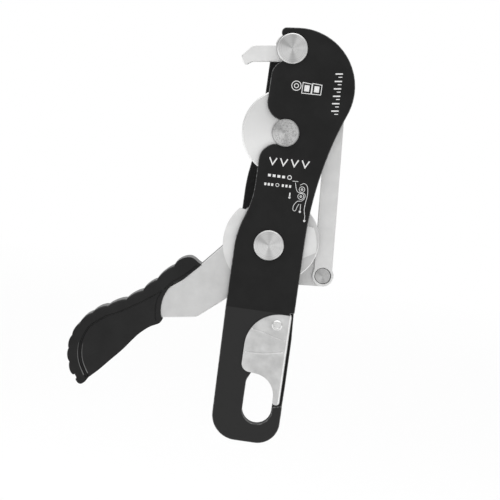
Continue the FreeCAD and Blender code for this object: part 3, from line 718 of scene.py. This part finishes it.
# printed marks on the swing plate: pages, ticks, chevrons, dashes and a rope's path
fineLine, plainLine, boldLine = 0.28, 0.42, 0.75  # widths of the printed lines
markSize = {
    "face": -17.0, "thick": 0.05, "sunk": 0.01, "mitre": 0.35, "nearby": 1e-6, "strandSteps": 5,
    # each row repeats its shape of (points, width, closed) so many times, one step apart
    "rows": [
        {"count": 4, "step": (6.3, 0.25),
         "shape": [([(-13.4, 147.2), (-11.3, 143.2), (-9.2, 147.2)], boldLine, False)]},
        {"count": 6, "step": (0.12, -4.3),
         "shape": [([(17.4, 200.0), (21.6, 200.6)], boldLine, False),
                   ([(19.4, 198.4), (21.5, 198.7)], 0.5, False)]},
        {"count": 2, "step": (5.7, 0.2),
         "shape": [([(-0.4, 192.6), (4.9, 192.3), (4.9, 186.6), (-0.4, 186.4)], plainLine, True),
                   ([(2.2, 191.3), (2.2, 187.7)], 2.9, False)]},
        {"count": 4, "step": (2.75, 0.02),
         "shape": [([(-13.0, 136.8), (-11.3, 136.9)], 1.5, False)]},
        {"count": 3, "step": (2.0, 0.05),
         "shape": [([(-14.4, 131.5), (-13.2, 131.5)], 1.5, False)]},
        {"count": 3, "step": (2.1, 0.05),
         "shape": [([(-4.2, 131.9), (-3.0, 131.9)], 1.5, False)]},
    ],
    # centre, radius, line width and number of points
    "rings": [
        ((-4.0, 190.2), 2.7, plainLine, 28), ((-4.0, 190.2), 1.2, plainLine, 28),
        ((-0.4, 137.1), 1.1, plainLine, 20), ((-6.8, 131.8), 0.9, 0.3, 20),
        ((1.15, 125.6), 0.4, 0.5, 12), ((7.7, 131.2), 1.6, fineLine, 28),
        ((7.6, 127.1), 1.7, fineLine, 28), ((7.7, 131.2), 0.5, 0.35, 14),
        ((7.6, 127.1), 0.5, 0.35, 14), ((8.3, 118.3), 0.42, 0.5, 12),
        ((11.6, 113.4), 0.42, 0.5, 12),
    ],
    # straight strokes: points and line width
    "strokes": [
        ([(1.6, 135.3), (4.9, 135.5)], 0.3), ([(1.1, 128.4), (1.15, 125.9)], 0.7),
        ([(8.2, 122.6), (8.3, 119.2)], 0.32), ([(11.5, 116.6), (11.6, 114.2)], 0.3),
    ],
    # the two curved lines of the rope
    "strands": [
        [(3.4, 134.6), (4.6, 130.6), (6.2, 129.2), (9.4, 129.0), (10.0, 127.0), (8.6, 124.7),
         (6.0, 124.0), (4.2, 121.4), (4.2, 118.8), (5.6, 118.5), (6.4, 121.0), (7.2, 122.6)],
        [(6.4, 133.6), (8.6, 134.8), (10.6, 133.2), (11.3, 129.0), (10.9, 124.5), (10.6, 120.0),
         (11.4, 116.5)],
    ],
    "ink": {"grey": (0.55, 0.78), "fleck": 2600.0, "fleckRange": (0.3, 0.6),
            "roughness": (0.62, 0.5)},
}


def printedWhite(name, ink):
    mat, tree, shader = newTree(name)
    darkest, lightest = ink["grey"]
    fleck = noise(tree, objectCoords(tree), ink["fleck"])
    fleck = ramp(tree, fleck, 0.0, 1.0, *ink["fleckRange"])
    colour = blendColour(tree, fleck, grey(darkest), grey(lightest))
    tree.links.new(colour, shader.inputs["Base Color"])
    tree.links.new(ramp(tree, fleck, *ink["roughness"], 0.0, 1.0), shader.inputs["Roughness"])
    return mat


# a flat ribbon along the points, mitred at its corners and a hair proud of the plate
def strokeInto(bm, points, width, size, closed=False):
    run = [Vector(p) for p in points]
    count = len(run)
    left, right = [], []
    for i in range(count):
        before = run[i - 1] if closed or i > 0 else run[i]
        after = run[(i + 1) % count] if closed or i < count - 1 else run[i]
        one = (run[i] - before) if (run[i] - before).length > size["nearby"] else (after - run[i])
        two = (after - run[i]) if (after - run[i]).length > size["nearby"] else one
        one, two = one.normalized(), two.normalized()
        side = Vector((-(one + two).y, (one + two).x)).normalized()
        corner = max(side.dot(Vector((-one.y, one.x))), size["mitre"])
        reach = min(width / 2 / corner, width)
        left.append(run[i] + side * reach)
        right.append(run[i] - side * reach)
    top, bottom = size["face"] - size["thick"], size["face"] + size["sunk"]
    rings = [[bm.verts.new((p.x * mm, y * mm, p.y * mm)) for p, y in
              ((left[i], top), (right[i], top), (right[i], bottom), (left[i], bottom))]
             for i in range(count)]
    pairs = list(zip(rings, rings[1:])) + ([(rings[-1], rings[0])] if closed else [])
    for one, two in pairs:
        for k in range(4):
            bm.faces.new((one[k], two[k], two[(k + 1) % 4], one[(k + 1) % 4]))
    if not closed:
        bm.faces.new(rings[0])
        bm.faces.new(rings[-1])


def ringPoints(centre, radius, count):
    return [(centre[0] + radius * math.cos(a), centre[1] + radius * math.sin(a))
            for a in anglesRound(count)]


def rowInto(bm, row, size, mat):
    piece = bmesh.new()
    for points, width, closed in row["shape"]:
        strokeInto(piece, points, width, size, closed)
    obj = addObject("row", meshFrom(piece, "row", False))
    step = (row["step"][0] * mm, 0, row["step"][1] * mm)
    grow(obj, rowTree(), {"Count": row["count"], "Step": step, "Material": mat})
    bm.from_mesh(obj.data)
    bpy.data.objects.remove(obj)


def makeMarks(size):
    white = printedWhite("markWhite", size["ink"])
    bm = bmesh.new()
    for row in size["rows"]:
        rowInto(bm, row, size, white)
    for centre, radius, width, count in size["rings"]:
        strokeInto(bm, ringPoints(centre, radius, count), width, size, True)
    for points, width in size["strokes"]:
        strokeInto(bm, points, width, size)
    for points in size["strands"]:
        strokeInto(bm, smoothRun(points, size["strandSteps"]), fineLine, size)
    newPiece("plateMarks", meshFrom(bm, "plateMarks", False), white, "swing_plate")


makeMarks(markSize)
print("marks made")


# gate: the folded sheet with two pressed creases
gateSize = {
    "creases": [[(-9.8, 47.0), (-3.7, 46.0), (3.9, 43.8), (10.4, 42.4)],
                [(-11.6, 32.9), (-1.9, 33.3), (10.2, 35.6)]],
    "radius": 0.7, "depth": 0.26, "sides": 32, "steps": 5, "sharpAngle": 25,
    "topFace": -18.096, "topHeight": 57.8, "slope": 3.0,  # the face leans by 3 degrees
}


def makeGate(size):
    mesh = meshFrom(joinedCopy("gate"), "gateSheet")
    gate = newPiece("gateSheet", mesh, satin["gateBlasted"], "gate")
    lean = math.tan(math.radians(size["slope"]))
    radius = size["radius"]
    cutters = []
    for crease in size["creases"]:
        lifted = []
        for p in smoothRun(crease, size["steps"]):
            face = size["topFace"] + (size["topHeight"] - p.y) * lean
            lifted.append((p.x, face - radius + size["depth"], p.y))
        cutters.append(tube(lifted, radius, radius, size["sides"]))
    cutAway(gate, cutters)
    smoothByAngle(gate, size["sharpAngle"])
    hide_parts("gate")


makeGate(gateSize)
print("gate made")


# return spring, whose front end turns with the cam and whose back end stays in the rear plate: a
# copy of the CAD spring with smoothed shading
springSize = {"held": 5.2, "driven": 0.95, "sharpAngle": 40}  # y of its fixed and turning ends


def makeReturnSpring(size):
    spring = addObject("returnSpring", meshFrom(joinedCopy("handle_return_spring"), "returnSpring"))
    spring.data.materials.append(satin["springWire"])
    smoothByAngle(spring, size["sharpAngle"])
    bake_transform(spring)
    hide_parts("handle_return_spring")


makeReturnSpring(springSize)
print("return spring made")


# floor: pale paper that fades to plain white away from the object
floorSize = {"height": -0.16, "half": 40.0, "fadeFrom": 0.5, "fadeTo": 3.0,
             "paper": (0.9, 0.9, 0.9, 1), "roughness": 0.8}


def makeFloor(size):
    half, height = size["half"], size["height"]
    mesh = bpy.data.meshes.new("floor")
    corners = [(x * half, y * half, height) for x, y in ((-1, -1), (1, -1), (1, 1), (-1, 1))]
    mesh.from_pydata(corners, [], [(0, 1, 2, 3)])
    mat, tree, shader = newTree("floorPaper")
    setShader(shader, {"Base Color": size["paper"], "Roughness": size["roughness"]})
    glow = addNode(tree, "ShaderNodeEmission", {"Color": (1, 1, 1, 1), "Strength": 1.0})
    mix = addNode(tree, "ShaderNodeMixShader")
    coord = addNode(tree, "ShaderNodeTexCoord")
    away = vectorStep(tree, "LENGTH", coord.outputs["Object"])
    fade = ramp(tree, away, 0.0, 1.0, size["fadeFrom"], size["fadeTo"])
    out = next(n for n in tree.nodes if n.type == "OUTPUT_MATERIAL")
    tree.links.new(fade, mix.inputs[0])
    tree.links.new(shader.outputs[0], mix.inputs[1])
    tree.links.new(glow.outputs[0], mix.inputs[2])
    tree.links.new(mix.outputs[0], out.inputs["Surface"])
    mesh.materials.append(mat)
    addObject("floor", mesh)


makeFloor(floorSize)


# studio walls: bright above, greyer to both sides; the paper behind stays white
roomSize = {"front": 0.92, "side": 0.35, "sideFrom": 0.12, "sideTo": 0.8,
            "above": 0.55, "aboveFrom": 0.1, "aboveTo": 0.9, "seen": 1.0}


def makeRoom(size):
    world = bpy.data.worlds.new("world")
    bpy.context.scene.world = world
    world.use_nodes = True
    tree = world.node_tree
    coord = addNode(tree, "ShaderNodeTexCoord")
    split = addNode(tree, "ShaderNodeSeparateXYZ")
    tree.links.new(coord.outputs["Generated"], split.inputs[0])
    aside = mathStep(tree, "ABSOLUTE", split.outputs["X"]).outputs[0]
    walls = ramp(tree, aside, size["front"], size["side"], size["sideFrom"], size["sideTo"])
    above = ramp(tree, split.outputs["Z"], 0.0, size["above"], size["aboveFrom"], size["aboveTo"])
    total = mathStep(tree, "ADD", walls)
    tree.links.new(above, total.inputs[1])
    path = addNode(tree, "ShaderNodeLightPath")
    pick = addNode(tree, "ShaderNodeMix", {"B": size["seen"]}, data_type="FLOAT")
    tree.links.new(path.outputs["Is Camera Ray"], pick.inputs["Factor"])
    tree.links.new(total.outputs[0], pick.inputs["A"])
    back = tree.nodes["Background"]
    back.inputs["Color"].default_value = (1, 1, 1, 1)
    tree.links.new(pick.outputs["Result"], back.inputs["Strength"])


makeRoom(roomSize)
bpy.context.scene.view_settings.view_transform = "Standard"


# two soft panels, in metres and watts
lampSize = {
    "keyLight": {"place": (-0.9, -1.2, 1.3), "aim": (0, 0, 0.1), "size": (0.9, 0.9), "power": 6.0},
    "fillLight": {"place": (1.2, -1.0, 0.5), "aim": (0, 0, 0.1), "size": (0.8, 1.2), "power": 2.5},
}


def addLight(name, lamp):
    data = bpy.data.lights.new(name, "AREA")
    data.shape = "RECTANGLE"
    data.size, data.size_y = lamp["size"]
    data.energy = lamp["power"]
    panel = addObject(name, data)
    panel.location = lamp["place"]
    facing = Vector(lamp["aim"]) - Vector(lamp["place"])
    panel.rotation_euler = facing.to_track_quat("-Z", "Y").to_euler()


for name, lamp in lampSize.items():
    addLight(name, lamp)
print("stage and light ready")
